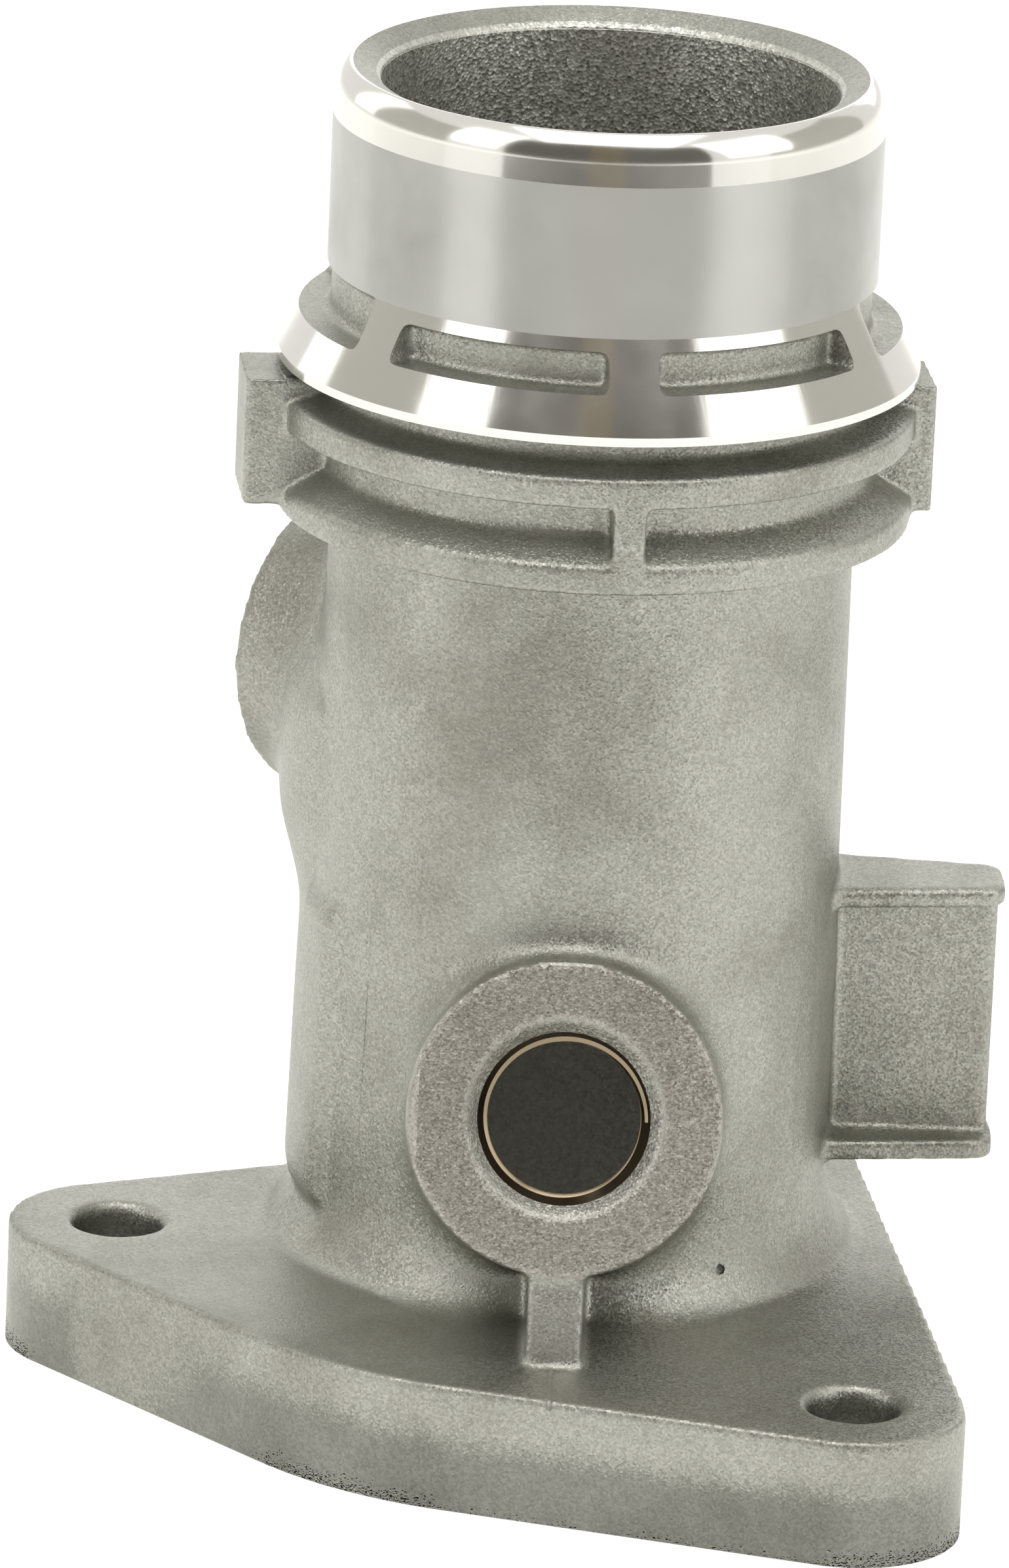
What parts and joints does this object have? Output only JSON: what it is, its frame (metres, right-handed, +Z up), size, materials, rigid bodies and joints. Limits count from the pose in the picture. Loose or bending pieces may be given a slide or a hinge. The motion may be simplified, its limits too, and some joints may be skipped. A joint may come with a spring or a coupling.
{
  "type": "coolant flange",
  "caption": "Die-cast coolant flange: bolted base, tube with a machined quick-connect spigot, an inclined threaded sensor boss, a side branch boss and a ribbed stop lug.",
  "frame": {"origin": "on the bore's axis, in the plane of the mounting face", "axes": "+Z up the bore's axis towards the spigot's rim, -Y the way the sensor boss faces, +X towards the stop lug"},
  "size_m": [0.0943, 0.1005, 0.1276],
  "materials": {
    "casting": "shot-blasted casting with turned spigot"
  },
  "bodies": {
    "root": {"coolant_flange": "casting"}
  },
  "joints": []
}
